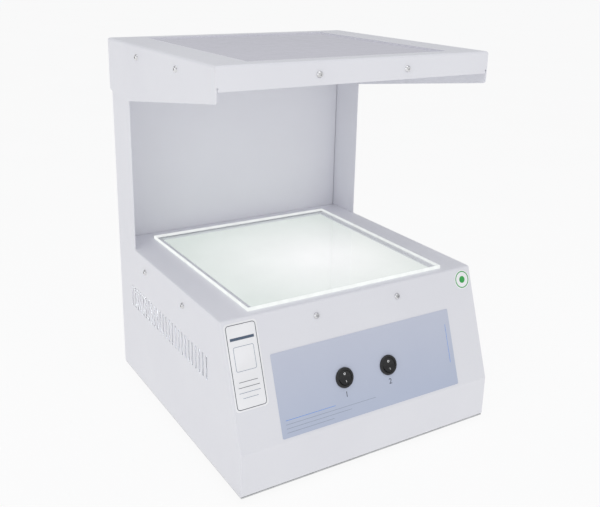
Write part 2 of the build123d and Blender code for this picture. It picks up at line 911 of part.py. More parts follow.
# Round rocker switch, built at the origin: z points out of the panel, y up the slope
def switch_body():
    """Bezel and barrel with the rocker's pocket, pivot holes and snap ribs."""
    pocket_radius = rocker_radius + rocker_fit
    bezel_top = label_thickness + bezel_height
    pocket_depth = bezel_top + barrel_length - pocket_floor
    with BuildPart() as body:
        with BuildSketch(Plane.XY.offset(label_thickness)):
            Circle(bezel_radius)
        extrude(amount=bezel_height)
        chamfer(body.faces().sort_by(Axis.Z)[-1].edges(), bezel_ease)
        with BuildSketch(Plane.XY.offset(label_thickness)):
            Circle(barrel_radius)
        extrude(amount=-barrel_length - label_thickness)
        with BuildSketch(Plane.YZ):
            for side in (-1, 1):
                with BuildLine():
                    Polyline(
                        (side * (barrel_radius - snap_stand), -sheet - snap_height),
                        (side * (barrel_radius - snap_stand), -sheet - barrel_fit),
                        (side * (barrel_radius + snap_stand), -sheet - barrel_fit),
                        close=True,
                    )
                make_face()
        extrude(amount=snap_width / 2, both=True)
        with BuildSketch(Plane.XY.offset(bezel_top)):
            Circle(pocket_radius)
        extrude(amount=-pocket_depth, mode=Mode.SUBTRACT)
        with BuildSketch(Plane.YZ):
            with Locations((0, rocker_pivot)):
                Circle(trunnion_radius + trunnion_fit)
        extrude(amount=rocker_radius + trunnion_length + trunnion_fit, both=True, mode=Mode.SUBTRACT)
        with BuildSketch(Plane.XY.offset(-barrel_length)):
            with Locations((0, -terminal_spacing / 2), (0, terminal_spacing / 2)):
                Rectangle(terminal_width, terminal_thickness)
        extrude(amount=pocket_floor, mode=Mode.SUBTRACT)
    return body.part


def switch_rocker():
    """Rocker with a shallow saddle face, two trunnions and an actuating nose, upper end pressed."""
    pivot_axis = Axis((0, 0, rocker_pivot), (1, 0, 0))
    rise = rocker_radius * math.tan(math.radians(rocker_tilt))
    with BuildPart() as rocker:
        with Locations((0, 0, rocker_pivot)):
            Sphere(rocker_radius)
        with BuildSketch(Plane.YZ):
            with Locations((0, rocker_pivot)):
                with BuildLine():
                    Polyline(
                        (-rocker_radius, -rocker_below),
                        (rocker_radius, -rocker_below),
                        (rocker_radius, rocker_crown + rise),
                        (0, rocker_crown),
                        (-rocker_radius, rocker_crown + rise),
                        close=True,
                    )
                make_face()
        extrude(amount=rocker_radius, both=True, mode=Mode.INTERSECT)
        with BuildSketch(Plane.YZ):
            with Locations((0, rocker_pivot)):
                Circle(trunnion_radius)
        extrude(amount=rocker_radius + trunnion_length, both=True)
        with BuildSketch(Plane.XY.offset(rocker_pivot - rocker_below)):
            Circle(nose_radius)
        extrude(amount=-nose_length)
    return rocker.part.rotate(pivot_axis, -rocker_tilt)


def switch_terminals():
    """Two flat blades that stand out of the switch's floor."""
    with BuildPart() as blades:
        with BuildSketch(Plane.XY.offset(pocket_floor - barrel_length)):
            with Locations((0, -terminal_spacing / 2), (0, terminal_spacing / 2)):
                Rectangle(terminal_width, terminal_thickness)
        extrude(amount=-terminal_length - pocket_floor)
    return blades.part


# Mains inlet, built at the origin: z points out of the rear panel, y is up
def socket_outline(plane, shrink):
    """Inlet socket's outline, with its two upper corners cut."""
    half = socket_width / 2 - shrink
    low = -socket_drop - socket_height / 2 + shrink
    high = -socket_drop + socket_height / 2 - shrink
    with BuildSketch(plane) as outline:
        with BuildLine():
            Polyline(
                (-half, low),
                (half, low),
                (half, high - socket_chamfer),
                (half - socket_chamfer, high),
                (socket_chamfer - half, high),
                (-half, high - socket_chamfer),
                close=True,
            )
        make_face()
    return outline.sketch


def pin_places():
    """Two line pins below and the earth pin above, between them."""
    return [
        (-pin_gap / 2, -socket_drop - pin_offset),
        (pin_gap / 2, -socket_drop - pin_offset),
        (0, -socket_drop + pin_offset),
    ]


def inlet_body():
    """Moulded inlet with the socket, the fuse drawer's slot and two screw holes."""
    front = inlet_flange_thickness
    with BuildPart() as body:
        with BuildSketch(Plane.XY):
            RectangleRounded(inlet_flange_width, inlet_flange_height, inlet_flange_corner)
        extrude(amount=inlet_flange_thickness)
        chamfer(body.faces().sort_by(Axis.Z)[-1].edges(), inlet_flange_thickness / 4)
        with BuildSketch(Plane.XY):
            Rectangle(inlet_body_width, inlet_body_height)
        extrude(amount=-inlet_body_depth)
        extrude(socket_outline(Plane.XY.offset(front), 0), amount=-socket_reach, mode=Mode.SUBTRACT)
        with BuildSketch(Plane.XY.offset(front)):
            with Locations((0, drawer_rise)):
                Rectangle(drawer_width, drawer_height)
        extrude(amount=-drawer_reach, mode=Mode.SUBTRACT)
        with BuildSketch(Plane.XY.offset(-inlet_body_depth)):
            with Locations(*pin_places()):
                Rectangle(pin_width, pin_height)
        extrude(amount=inlet_body_depth, mode=Mode.SUBTRACT)
        with BuildSketch(Plane.XY.offset(front)):
            with GridLocations(inlet_screw_spacing, inlet_screw_spacing, 2, 1):
                Circle(inlet_screw_radius + inlet_fit / 2)
        extrude(amount=-front, mode=Mode.SUBTRACT)
    return body.part


def inlet_pins():
    """Three blades that reach from inside the socket to their solder tails."""
    tip = inlet_flange_thickness - pin_setback
    with BuildPart() as pins:
        with BuildSketch(Plane.XY.offset(tip)):
            with Locations(*pin_places()):
                Rectangle(pin_width, pin_height)
        extrude(amount=-tip - inlet_body_depth - pin_tail)
    return pins.part


def fuse_drawer():
    """Drawer with a trough for one fuse and a face that covers its slot."""
    front = inlet_flange_thickness
    trough_width = drawer_width - 2 * drawer_fit
    trough_height = drawer_height - 2 * drawer_fit
    trough = 2 * (fuse_radius + fuse_fit)
    with BuildPart() as drawer:
        with BuildSketch(Plane.XY.offset(front)):
            with Locations((0, drawer_rise)):
                Rectangle(trough_width, trough_height)
        extrude(amount=drawer_fit - drawer_reach)
        with BuildSketch(Plane.XY.offset(front)):
            with Locations((0, drawer_rise)):
                RectangleRounded(
                    drawer_width + 2 * drawer_face_margin,
                    drawer_height + 2 * drawer_face_margin,
                    drawer_face_margin,
                )
        extrude(amount=drawer_face_thickness)
        with BuildSketch(Plane.XZ.offset(-drawer_rise - trough_height / 2)):
            with Locations((0, fuse_middle())):
                Rectangle(trough, fuse_length + 2 * fuse_fit)
        extrude(amount=trough_height - drawer_wall, mode=Mode.SUBTRACT)
    return drawer.part


def fuse_middle():
    """Where the middle of the fuse lies along the drawer's travel."""
    return inlet_flange_thickness - drawer_wall - fuse_fit - fuse_length / 2


def fuse():
    """Glass fuse with two end caps, lying along the drawer's travel."""
    centre_y = drawer_rise - (drawer_height - 2 * drawer_fit) / 2 + drawer_wall + fuse_radius
    half = fuse_length / 2
    with BuildPart() as link:
        with BuildSketch(Plane(origin=(0, centre_y, fuse_middle()), x_dir=(0, 1, 0), z_dir=(1, 0, 0))):
            with BuildLine():
                Polyline(
                    (0, -half),
                    (fuse_radius, -half),
                    (fuse_radius, fuse_cap_length - half),
                    (fuse_glass_radius, fuse_cap_length - half),
                    (fuse_glass_radius, half - fuse_cap_length),
                    (fuse_radius, half - fuse_cap_length),
                    (fuse_radius, half),
                    (0, half),
                    close=True,
                )
            make_face()
        revolve(axis=Axis((0, centre_y, 0), (0, 0, 1)))
    return link.part


def inlet_screw():
    """Small pan head screw through the inlet's flange and the rear panel."""
    with BuildPart() as screw:
        with BuildSketch(Plane.XY.offset(inlet_flange_thickness)):
            Circle(inlet_screw_head)
        extrude(amount=inlet_screw_head_height)
        chamfer(screw.faces().sort_by(Axis.Z)[-1].edges(), inlet_screw_head_height / 3)
        with BuildSketch(Plane.XY.offset(inlet_flange_thickness)):
            RegularPolygon(radius=inlet_screw_radius, side_count=thread_sides)
        extrude(amount=-inlet_flange_thickness - sheet - inlet_nut_height - thread_showing)
    return screw.part


# Lamp tray
def lamp_tray():
    """White reflector table that stands over the control gear and carries both lamps."""
    section = bent_section(
        Plane.YZ,
        [
            (tray_front_y - tray_foot, bottom_z + tray_sheet),
            (tray_front_y, bottom_z + tray_sheet),
            (tray_front_y, tray_top_z),
            (tray_rear_y, tray_top_z),
            (tray_rear_y, bottom_z + tray_sheet),
            (tray_rear_y + tray_foot, bottom_z + tray_sheet),
        ],
        (bend_inside, bend_inside + tray_sheet, bend_inside + tray_sheet, bend_inside),
        tray_sheet,
        Side.RIGHT,
    )
    with BuildPart() as tray:
        extrude(section, amount=tray_width / 2, both=True)
        with BuildSketch(Plane.XY.offset(bottom_z)):
            with Locations(*tray_stud_places):
                Circle(screw_hole_radius)
        extrude(amount=tray_sheet, mode=Mode.SUBTRACT)
    return tray.part


# Sodium lamp, its axis along x, cap on the left
def jacket_outline(inset):
    """Half outline of the jacket, or of its hollow when inset by the wall."""
    back_x = sodium_tip - sodium_length + sodium_cap_length + inset
    tip_x = sodium_tip - inset
    high_z = lamp_z + sodium_radius - inset
    with BuildSketch(Plane.XZ.offset(-sodium_y)) as outline:
        with BuildLine():
            Polyline(
                (back_x, lamp_z),
                (back_x, high_z - sodium_neck_taper),
                (back_x + sodium_neck_taper, high_z),
                (tip_x - sodium_tip_taper, high_z),
                (tip_x, high_z - sodium_tip_taper),
                (tip_x, lamp_z),
                close=True,
            )
        make_face()
    return outline.sketch


def sodium_jacket():
    """Outer glass of the sodium lamp, closed and tapered at its tip."""
    with BuildPart() as jacket:
        revolve(jacket_outline(0), axis=lamp_axis(sodium_y))
        revolve(jacket_outline(glass_wall), axis=lamp_axis(sodium_y), mode=Mode.SUBTRACT)
    return jacket.part


def lamp_axis(y):
    """Axis of a lamp, along x."""
    return Axis((0, y, lamp_z), (1, 0, 0))


def arc_tube():
    """Discharge tube inside the jacket: two limbs joined by a cross tube near the tip."""
    start_x = sodium_tip - sodium_length + sodium_cap_length + glass_wall
    limbs = [(sodium_y - arc_tube_gap / 2, lamp_z), (sodium_y + arc_tube_gap / 2, lamp_z)]
    with BuildPart() as tube:
        with BuildSketch(Plane.YZ.offset(start_x)):
            with Locations(*limbs):
                Circle(arc_tube_radius)
        extrude(amount=arc_tube_length)
        with BuildSketch(Plane.XZ.offset(-sodium_y)):
            with Locations((start_x + arc_tube_length - arc_tube_bridge_radius, lamp_z)):
                Circle(arc_tube_bridge_radius)
        extrude(amount=arc_tube_gap / 2, both=True)
    return tube.part


def sodium_cap():
    """Metal bayonet cap with its two side pins."""
    with BuildPart() as cap:
        with BuildSketch(Plane.YZ.offset(sodium_tip - sodium_length)):
            with Locations((sodium_y, lamp_z)):
                Circle(sodium_cap_radius)
        extrude(amount=sodium_cap_length)
    return cap.part


def sodium_holder():
    """Lampholder block around the cap, standing on the lamp tray."""
    cap_end = sodium_tip - sodium_length
    outer = sodium_cap_radius + holder_fit + holder_wall
    with BuildPart() as holder:
        with BuildSketch(Plane.YZ.offset(cap_end - holder_wall)):
            with Locations((sodium_y, lamp_z)):
                Circle(outer)
            with Locations((sodium_y, tray_top_z)):
                Rectangle(2 * outer, lamp_z - tray_top_z, align=(Align.CENTER, Align.MIN))
        extrude(amount=holder_depth)
        with BuildSketch(Plane.YZ.offset(cap_end)):
            with Locations((sodium_y, lamp_z)):
                Circle(sodium_cap_radius + holder_fit)
        extrude(amount=holder_depth, mode=Mode.SUBTRACT)
    return holder.part


def sodium_clip():
    """Spring clip that cradles the jacket near its tip."""
    inner = sodium_radius + clip_fit
    with BuildPart() as clip:
        with BuildSketch(Plane.YZ.offset(sodium_tip - clip_setback)):
            with Locations((sodium_y, lamp_z)):
                Circle(inner + clip_sheet)
                Circle(inner, mode=Mode.SUBTRACT)
            with Locations((sodium_y, lamp_z + inner / 2)):
                Rectangle(3 * inner, 2 * inner, align=(Align.CENTER, Align.MIN), mode=Mode.SUBTRACT)
            with Locations((sodium_y, tray_top_z)):
                Rectangle(clip_width, lamp_z - inner - tray_top_z, align=(Align.CENTER, Align.MIN))
        extrude(amount=clip_width)
    return clip.part


# Compact fluorescent lamp, its two tubes side by side along x
def cfl_tubes():
    """Twin glass tubes bridged near their tips."""
    start_x = cfl_tip - cfl_length + cfl_base_length
    with BuildPart() as tubes:
        with BuildSketch(Plane.YZ.offset(start_x)):
            with Locations((cfl_y - cfl_tube_gap / 2, lamp_z), (cfl_y + cfl_tube_gap / 2, lamp_z)):
                Circle(cfl_tube_radius)
        extrude(amount=cfl_length - cfl_base_length)
        chamfer(tubes.faces().sort_by(Axis.X)[-2:].edges(), cfl_tip_taper)
        with BuildSketch(Plane.XZ.offset(-cfl_y)):
            with Locations((cfl_tip - cfl_bridge_setback, lamp_z)):
                Circle(cfl_bridge_radius)
        extrude(amount=cfl_tube_gap / 2, both=True)
    return tubes.part


def cfl_base():
    """Moulded lamp base with the plug that enters the holder."""
    start = cfl_tip - cfl_length
    with BuildPart() as base:
        with BuildSketch(Plane.YZ.offset(start)):
            with Locations((cfl_y, lamp_z)):
                RectangleRounded(cfl_base_width, cfl_base_height, cfl_base_height / 4)
        extrude(amount=cfl_base_length)
        with BuildSketch(Plane.YZ.offset(start)):
            with Locations((cfl_y, lamp_z)):
                Rectangle(cfl_plug_width, cfl_plug_height)
        extrude(amount=-cfl_plug_length)
    return base.part


def cfl_holder():
    """Holder block that the lamp's plug pushes into, standing on the lamp tray."""
    start = cfl_tip - cfl_length
    with BuildPart() as holder:
        with BuildSketch(Plane.YZ.offset(start)):
            with Locations((cfl_y, tray_top_z)):
                Rectangle(
                    cfl_base_width,
                    lamp_z - tray_top_z + cfl_base_height / 2,
                    align=(Align.CENTER, Align.MIN),
                )
        extrude(amount=-cfl_plug_length - holder_wall)
        with BuildSketch(Plane.YZ.offset(start)):
            with Locations((cfl_y, lamp_z)):
                Rectangle(cfl_plug_width + 2 * holder_fit, cfl_plug_height + 2 * holder_fit)
        extrude(amount=-cfl_plug_length - holder_fit, mode=Mode.SUBTRACT)
    return holder.part


def cfl_clip():
    """Upright sheet fork that carries the tubes near their tips."""
    half = cfl_tube_gap / 2 + cfl_tube_radius + clip_fit
    floor_z = lamp_z - cfl_tube_radius - clip_fit
    with BuildPart() as clip:
        with BuildSketch(Plane.YZ.offset(cfl_tip - clip_setback)):
            with BuildLine():
                FilletPolyline(
                    (cfl_y - half, lamp_z),
                    (cfl_y - half, floor_z),
                    (cfl_y + half, floor_z),
                    (cfl_y + half, lamp_z),
                    radius=cfl_tube_radius,
                )
                offset(amount=clip_sheet, side=Side.RIGHT)
            make_face()
            with Locations((cfl_y, tray_top_z)):
                Rectangle(clip_width, floor_z - tray_top_z, align=(Align.CENTER, Align.MIN))
        extrude(amount=clip_width)
    return clip.part


# Control gear on the bottom plate, under the lamp tray
def eared_box(x, y, length, width, height):
    """Closed gear case with a mounting ear at each end."""
    with BuildPart() as case:
        with BuildSketch(Plane.XY.offset(bottom_z)):
            with Locations((x, y)):
                Rectangle(length, width)
        extrude(amount=height)
        chamfer(case.faces().sort_by(Axis.Z)[-1].edges(), gear_ease)
        with BuildSketch(Plane.XY.offset(bottom_z)):
            with Locations((x, y)):
                Rectangle(length + 2 * ear_length, ear_length)
            with Locations(*ear_studs(x, y, length)):
                Circle(screw_hole_radius, mode=Mode.SUBTRACT)
        extrude(amount=ear_thickness)
    return case.part


def ear_studs(x, y, length):
    """Stud places in the two ears of a gear case."""
    reach = length / 2 + stud_clear
    return [(x - reach, y), (x + reach, y)]


def sodium_core():
    """Laminated core of the sodium ballast, open along x for its coil, on an eared strap."""
    x = sodium_ballast_x
    strap_length = sodium_coil_length + 2 * ear_length
    with BuildPart() as core:
        with BuildSketch(Plane.XY.offset(bottom_z)):
            with Locations((x, ballast_y)):
                Rectangle(sodium_ballast_length, sodium_ballast_width)
        extrude(amount=sodium_ballast_height)
        with BuildSketch(Plane.YZ.offset(x)):
            with Locations((ballast_y, bottom_z + sodium_ballast_height / 2)):
                Rectangle(sodium_coil_width, sodium_coil_height)
        extrude(amount=sodium_ballast_length, both=True, mode=Mode.SUBTRACT)
        with BuildSketch(Plane.XY.offset(bottom_z)):
            with Locations((x, ballast_y)):
                Rectangle(strap_length, ear_length)
            with Locations(*ear_studs(x, ballast_y, sodium_coil_length)):
                Circle(screw_hole_radius, mode=Mode.SUBTRACT)
        extrude(amount=ear_thickness)
    return core.part


def sodium_coil():
    """Wound coil that fills the core's window and bulges from both ends."""
    with BuildPart() as coil:
        with BuildSketch(Plane.YZ.offset(sodium_ballast_x)):
            with Locations((ballast_y, bottom_z + sodium_ballast_height / 2)):
                Rectangle(sodium_coil_width, sodium_coil_height)
        extrude(amount=sodium_coil_length / 2, both=True)
        chamfer(coil.edges().filter_by(Axis.Z), gear_ease)
    return coil.part


def capacitor():
    """Cylindrical can lying on the bottom plate."""
    with BuildPart() as can:
        with BuildSketch(Plane.YZ.offset(capacitor_x - capacitor_length / 2)):
            with Locations((starter_y, bottom_z + capacitor_radius)):
                Circle(capacitor_radius)
        extrude(amount=capacitor_length)
        chamfer(can.faces().filter_by(Axis.X).edges(), gear_ease)
    return can.part


def capacitor_clamp():
    """Strap over the can with a foot on each side."""
    y = starter_y
    axis_z = bottom_z + capacitor_radius
    inner = capacitor_radius + clip_fit
    outer = inner + clip_sheet
    with BuildPart() as clamp:
        with BuildSketch(Plane.YZ.offset(capacitor_x - clamp_width / 2)):
            with Locations((y, axis_z)):
                Circle(outer)
            with Locations((y, bottom_z)):
                Rectangle(2 * outer, capacitor_radius, align=(Align.CENTER, Align.MIN))
                Rectangle(2 * (outer + ear_length), clip_sheet, align=(Align.CENTER, Align.MIN))
                Rectangle(2 * inner, capacitor_radius, align=(Align.CENTER, Align.MIN), mode=Mode.SUBTRACT)
            with Locations((y, axis_z)):
                Circle(inner, mode=Mode.SUBTRACT)
            with Locations((y, bottom_z)):
                Rectangle(2 * outer, axis_z, align=(Align.CENTER, Align.MAX), mode=Mode.SUBTRACT)
        extrude(amount=clamp_width)
        with BuildSketch(Plane.XY.offset(bottom_z)):
            with Locations(*capacitor_studs()):
                Circle(screw_hole_radius)
        extrude(amount=clip_sheet, mode=Mode.SUBTRACT)
    return clamp.part


def capacitor_studs():
    """Stud places in the clamp's two feet."""
    reach = capacitor_radius + clip_fit + clip_sheet + stud_clear
    return [(capacitor_x, starter_y - reach), (capacitor_x, starter_y + reach)]


def terminal_block():
    """Connector block with one raised clamp for each wire and an ear at each end."""
    place = (terminal_block_x, terminal_y)
    with BuildPart() as block:
        with BuildSketch(Plane.XY.offset(bottom_z)):
            with Locations(place):
                Rectangle(terminal_block_length, terminal_block_width)
        extrude(amount=terminal_block_floor)
        with BuildSketch(Plane.XY.offset(bottom_z + terminal_block_floor)):
            with Locations(place):
                with GridLocations(terminal_way_length, terminal_way_length, terminal_ways, 1):
                    Rectangle(terminal_clamp_length, terminal_clamp_width)
        extrude(amount=terminal_block_height - terminal_block_floor)
        with BuildSketch(Plane.XY.offset(bottom_z)):
            with Locations(place):
                Rectangle(terminal_block_length + 2 * ear_length, ear_length)
            with Locations(*ear_studs(*place, terminal_block_length)):
                Circle(screw_hole_radius, mode=Mode.SUBTRACT)
        extrude(amount=ear_thickness)
    return block.part


def write_gear():
    """Ballasts, ignitor, capacitor, terminal block and the studs that hold them and the tray."""
    save(sodium_core(), "sodium_ballast_core")
    save(sodium_coil(), "sodium_ballast_coil")
    save(
        eared_box(cfl_ballast_x, ballast_y, cfl_ballast_length, cfl_ballast_width, cfl_ballast_height),
        "cfl_ballast",
    )
    save(
        eared_box(ignitor_x, starter_y, ignitor_length, ignitor_width, ignitor_height),
        "ignitor",
    )
    save(capacitor(), "capacitor")
    save(capacitor_clamp(), "capacitor_clamp")
    save(terminal_block(), "terminal_block")
    eared = (
        ear_studs(sodium_ballast_x, ballast_y, sodium_coil_length)
        + ear_studs(cfl_ballast_x, ballast_y, cfl_ballast_length)
        + ear_studs(ignitor_x, starter_y, ignitor_length)
        + ear_studs(terminal_block_x, terminal_y, terminal_block_length)
    )
    seats = (
        [(x, y, bottom_z + ear_thickness) for x, y in eared]
        + [(x, y, bottom_z + tray_sheet) for x, y in tray_stud_places]
        + [(x, y, bottom_z + clip_sheet) for x, y in capacitor_studs()]
        + [(half_width - earth_stud_side_gap, rear_y - earth_stud_rear_gap, bottom_z)]
    )
    with BuildPart() as studs:
        with BuildSketch(Plane.XY.offset(bottom_z)):
            with Locations(*[(x, y) for x, y, z in seats]):
                RegularPolygon(radius=screw_radius, side_count=thread_sides)
        extrude(amount=stud_height)
    save(studs.part, "base_studs")
    nut = hex_nut(nut_flats, screw_radius + thread_fit, nut_height)
    save(placed(nut, [Plane(origin=(x, y, z + nut_height)) for x, y, z in seats]), "base_nuts")


def write_switches():
    """Both switches, each a body, a rocker and its terminals."""
    body = switch_body()
    rocker = switch_rocker()
    terminals = switch_terminals()
    for name, (x, lift) in switch_centres.items():
        seat = on_slope(x, lift)
        save(placed(body, [seat]), name + "_switch_body")
        save(placed(rocker, [seat]), name + "_switch_rocker")
        save(placed(terminals, [seat]), name + "_switch_terminals")


def write_inlet():
    """Mains inlet, its pins, fuse drawer, fuse and fasteners."""
    screw_seats = [
        Plane(origin=inlet_plane.from_local_coords((x, 0, 0)), x_dir=(-1, 0, 0), z_dir=(0, 1, 0))
        for x in (-inlet_screw_spacing / 2, inlet_screw_spacing / 2)
    ]
    nut = hex_nut(inlet_nut_flats, inlet_screw_radius + thread_fit, inlet_nut_height)
    save(placed(inlet_body(), [inlet_plane]), "mains_inlet")
    save(placed(inlet_pins(), [inlet_plane]), "mains_inlet_pins")
    save(placed(fuse_drawer(), [inlet_plane]), "fuse_drawer")
    save(placed(fuse(), [inlet_plane]), "fuse")
    save(placed(inlet_screw(), screw_seats), "mains_inlet_screws")
    save(placed(nut, [seat.offset(-sheet) for seat in screw_seats]), "mains_inlet_nuts")


save(side_panel(-1), "left_side_panel")
save(side_panel(1), "right_side_panel")
save(deck_panel(), "front_deck_panel")
save(rear_wall(), "rear_panel")
save(bottom_sheet(), "bottom_plate")
save(hood(), "hood_cover")
save(analyser_ring(), "analyser_frame")
save(sheet_ring(), "sheet_frame")
save(
    flat_sheet(
        window_width + 2 * sheet_overlap,
        window_depth + 2 * sheet_overlap,
        window_centre_y,
        under_hood_z,
        analyser_thickness,
    ),
    "analyser_sheet",
)
save(
    flat_sheet(lit_sheet_width, lit_sheet_depth, plate_centre_y, polariser_top_z, polariser_thickness),
    "polariser_sheet",
)
save(
    flat_sheet(lit_sheet_width, lit_sheet_depth, plate_centre_y, diffuser_top_z, diffuser_thickness),
    "diffuser_plate",
)
save(test_sheet(), "test_plate")
for foot_name, (foot_x, foot_y) in foot_places.items():
    save(foot(foot_x, foot_y), foot_name)
save(face_label(), "fascia_label")
save(side_sticker(), "side_sticker")
save(round_sticker(), "round_sticker")
write_switches()
write_inlet()
save(lamp_tray(), "lamp_tray")
save(sodium_jacket(), "sodium_lamp_jacket")
save(arc_tube(), "sodium_lamp_arc_tube")
save(sodium_cap(), "sodium_lamp_cap")
save(sodium_holder(), "sodium_lamp_holder")
save(sodium_clip(), "sodium_lamp_clip")
save(cfl_tubes(), "cfl_tubes")
save(cfl_base(), "cfl_base")
save(cfl_holder(), "cfl_holder")
save(cfl_clip(), "cfl_clip")
write_gear()
write_fasteners()
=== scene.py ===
import json
import math

import bpy
from mathutils import Matrix, Vector


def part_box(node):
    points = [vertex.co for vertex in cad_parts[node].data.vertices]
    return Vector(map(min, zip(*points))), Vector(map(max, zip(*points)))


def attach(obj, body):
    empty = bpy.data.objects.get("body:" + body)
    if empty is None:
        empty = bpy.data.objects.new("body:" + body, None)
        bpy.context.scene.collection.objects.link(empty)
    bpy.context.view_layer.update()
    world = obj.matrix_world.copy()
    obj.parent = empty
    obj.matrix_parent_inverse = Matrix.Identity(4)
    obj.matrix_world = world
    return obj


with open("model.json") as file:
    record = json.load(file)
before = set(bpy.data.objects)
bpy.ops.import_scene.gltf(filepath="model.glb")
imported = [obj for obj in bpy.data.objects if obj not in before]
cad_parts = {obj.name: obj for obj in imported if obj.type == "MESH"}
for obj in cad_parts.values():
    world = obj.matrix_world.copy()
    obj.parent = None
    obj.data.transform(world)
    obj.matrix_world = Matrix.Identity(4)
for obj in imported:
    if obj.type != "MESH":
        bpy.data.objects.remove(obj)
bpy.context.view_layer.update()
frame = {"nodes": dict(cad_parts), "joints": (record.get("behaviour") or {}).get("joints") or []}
nodes = frame["nodes"]
scene = bpy.context.scene

MM = 0.001

# Directions of the control slope, from the label's front face: across, out of it and up it
ACROSS = Vector((1, 0, 0))
label_faces = nodes["fascia_label"].data.polygons
OUT = max(label_faces, key=lambda face: face.area * (face.normal.y < 0)).normal.copy()
UP = OUT.cross(ACROSS)

# Most noise lies between these two values, and a mottle uses the narrower pair
NOISE_LOW, NOISE_HIGH = 0.3, 0.7
MOTTLE_LOW, MOTTLE_HIGH = 0.35, 0.65

# Refraction of lamp glass and of the clear plate
GLASS_IOR = 1.45
PLATE_IOR = 1.49

# A face counts as level when the upright part of its normal is more than this
LEVEL_COSINE = 0.9

# The lit sheet is brightest at a spot to the right of its middle and in front of it, and
# dims between the spot's core and its reach, all in metres
HOT_SPOT_SHIFT = 0.03
HOT_SPOT_CORE = 0.02
HOT_SPOT_REACH = 0.20

# Printed layers, in mm, and the number of steps round each of their corners
INK_HEIGHT = 0.05
INK_EDGE = 0.01
CORNER_STEPS = 5

# Height of the rocker's crest line above its pivot, in mm
CROWN = 1.9


class Face:
    """Outer face of a piece on the control slope: its middle and its size, in metres."""

    def __init__(self, name):
        piece = nodes[name]
        points = [piece.matrix_world @ vertex.co for vertex in piece.data.vertices]
        low = [min(point.dot(way) for point in points) for way in (ACROSS, UP, OUT)]
        high = [max(point.dot(way) for point in points) for way in (ACROSS, UP, OUT)]
        self.width = high[0] - low[0]
        self.height = high[1] - low[1]
        self.middle = (
            ACROSS * (low[0] + high[0]) / 2 + UP * (low[1] + high[1]) / 2 + OUT * high[2]
        )

    def at(self, x, y, z=0.0):
        """A point x across, y up and z off the face, in mm from its middle."""
        return self.middle + (ACROSS * x + UP * y + OUT * z) * MM


def srgb(red, green, blue):
    """Linear colour of an 0 to 255 display colour."""
    def line(v):
        v /= 255.0
        return v / 12.92 if v <= 0.04045 else ((v + 0.055) / 1.055) ** 2.4
    return (line(red), line(green), line(blue), 1.0)


